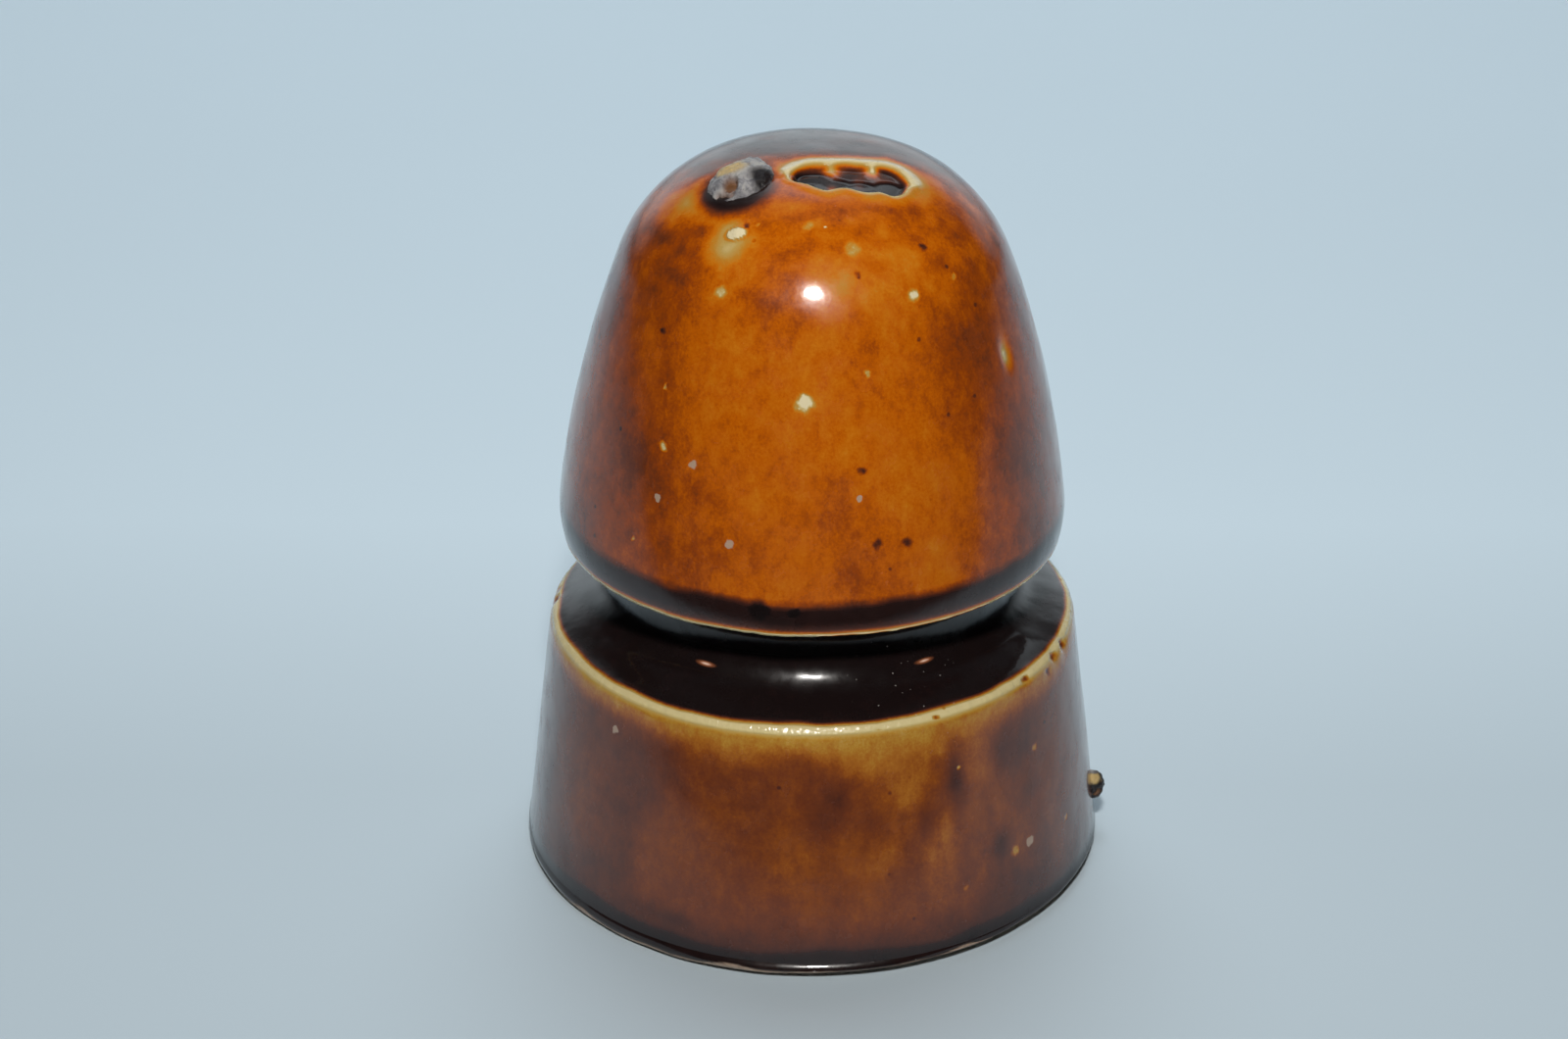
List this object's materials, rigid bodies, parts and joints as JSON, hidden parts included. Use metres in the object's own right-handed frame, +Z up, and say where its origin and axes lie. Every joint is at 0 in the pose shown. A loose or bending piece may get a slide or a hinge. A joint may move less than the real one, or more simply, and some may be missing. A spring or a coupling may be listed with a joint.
{
  "type": "fence insulator",
  "caption": "Pin-type fence insulator: glazed brown ceramic dome and flared skirt with a wire groove between, screwed down over a hidden threaded hardwood peg.",
  "frame": {"origin": "centre of the flat foot, at the mouth of the peg's bolt bore, on the surface that the insulator stands on", "axes": "+Z up along the centre line through the dome; -Y is the side with the stamp recess towards the viewer, with the dome's grit lump to its left (-X)"},
  "size_m": [0.0609, 0.0598, 0.0762],
  "materials": {
    "brown_glaze": "thick glossy amber to dark brown glaze over pale clay, thin and cream on the sharp edges, foot wiped bare",
    "kiln_grit": "rough fused grit with a glassy grey skin and black patches",
    "hardwood": "oiled turned hardwood",
    "zinc_steel": "dull zinc-coated steel",
    "felt": "pressed wool felt"
  },
  "bodies": {
    "post_peg": {"thread_peg": "hardwood", "bore_sleeve": "zinc_steel", "head_washer": "zinc_steel"},
    "felt": {"felt_disc": "felt"},
    "insulator": {"ceramic_body": "brown_glaze", "dome_kiln_grit": "kiln_grit", "skirt_kiln_grit": "kiln_grit"}
  },
  "joints": [
    {"name": "insulator_lift", "type": "slide", "parent": "post_peg", "child": "felt", "axis": [0, 0, 1], "range_m": [0, 0.0288]},
    {"name": "insulator_turn", "type": "hinge", "parent": "felt", "child": "insulator", "pos_m": [0, 0, 0], "axis": [0, 0, 1], "range_deg": [0, 1620]}
  ],
  "couplings": [
    {"joint": "insulator_lift", "follows": "insulator_turn", "m_per_rad": 0.0010106}
  ]
}
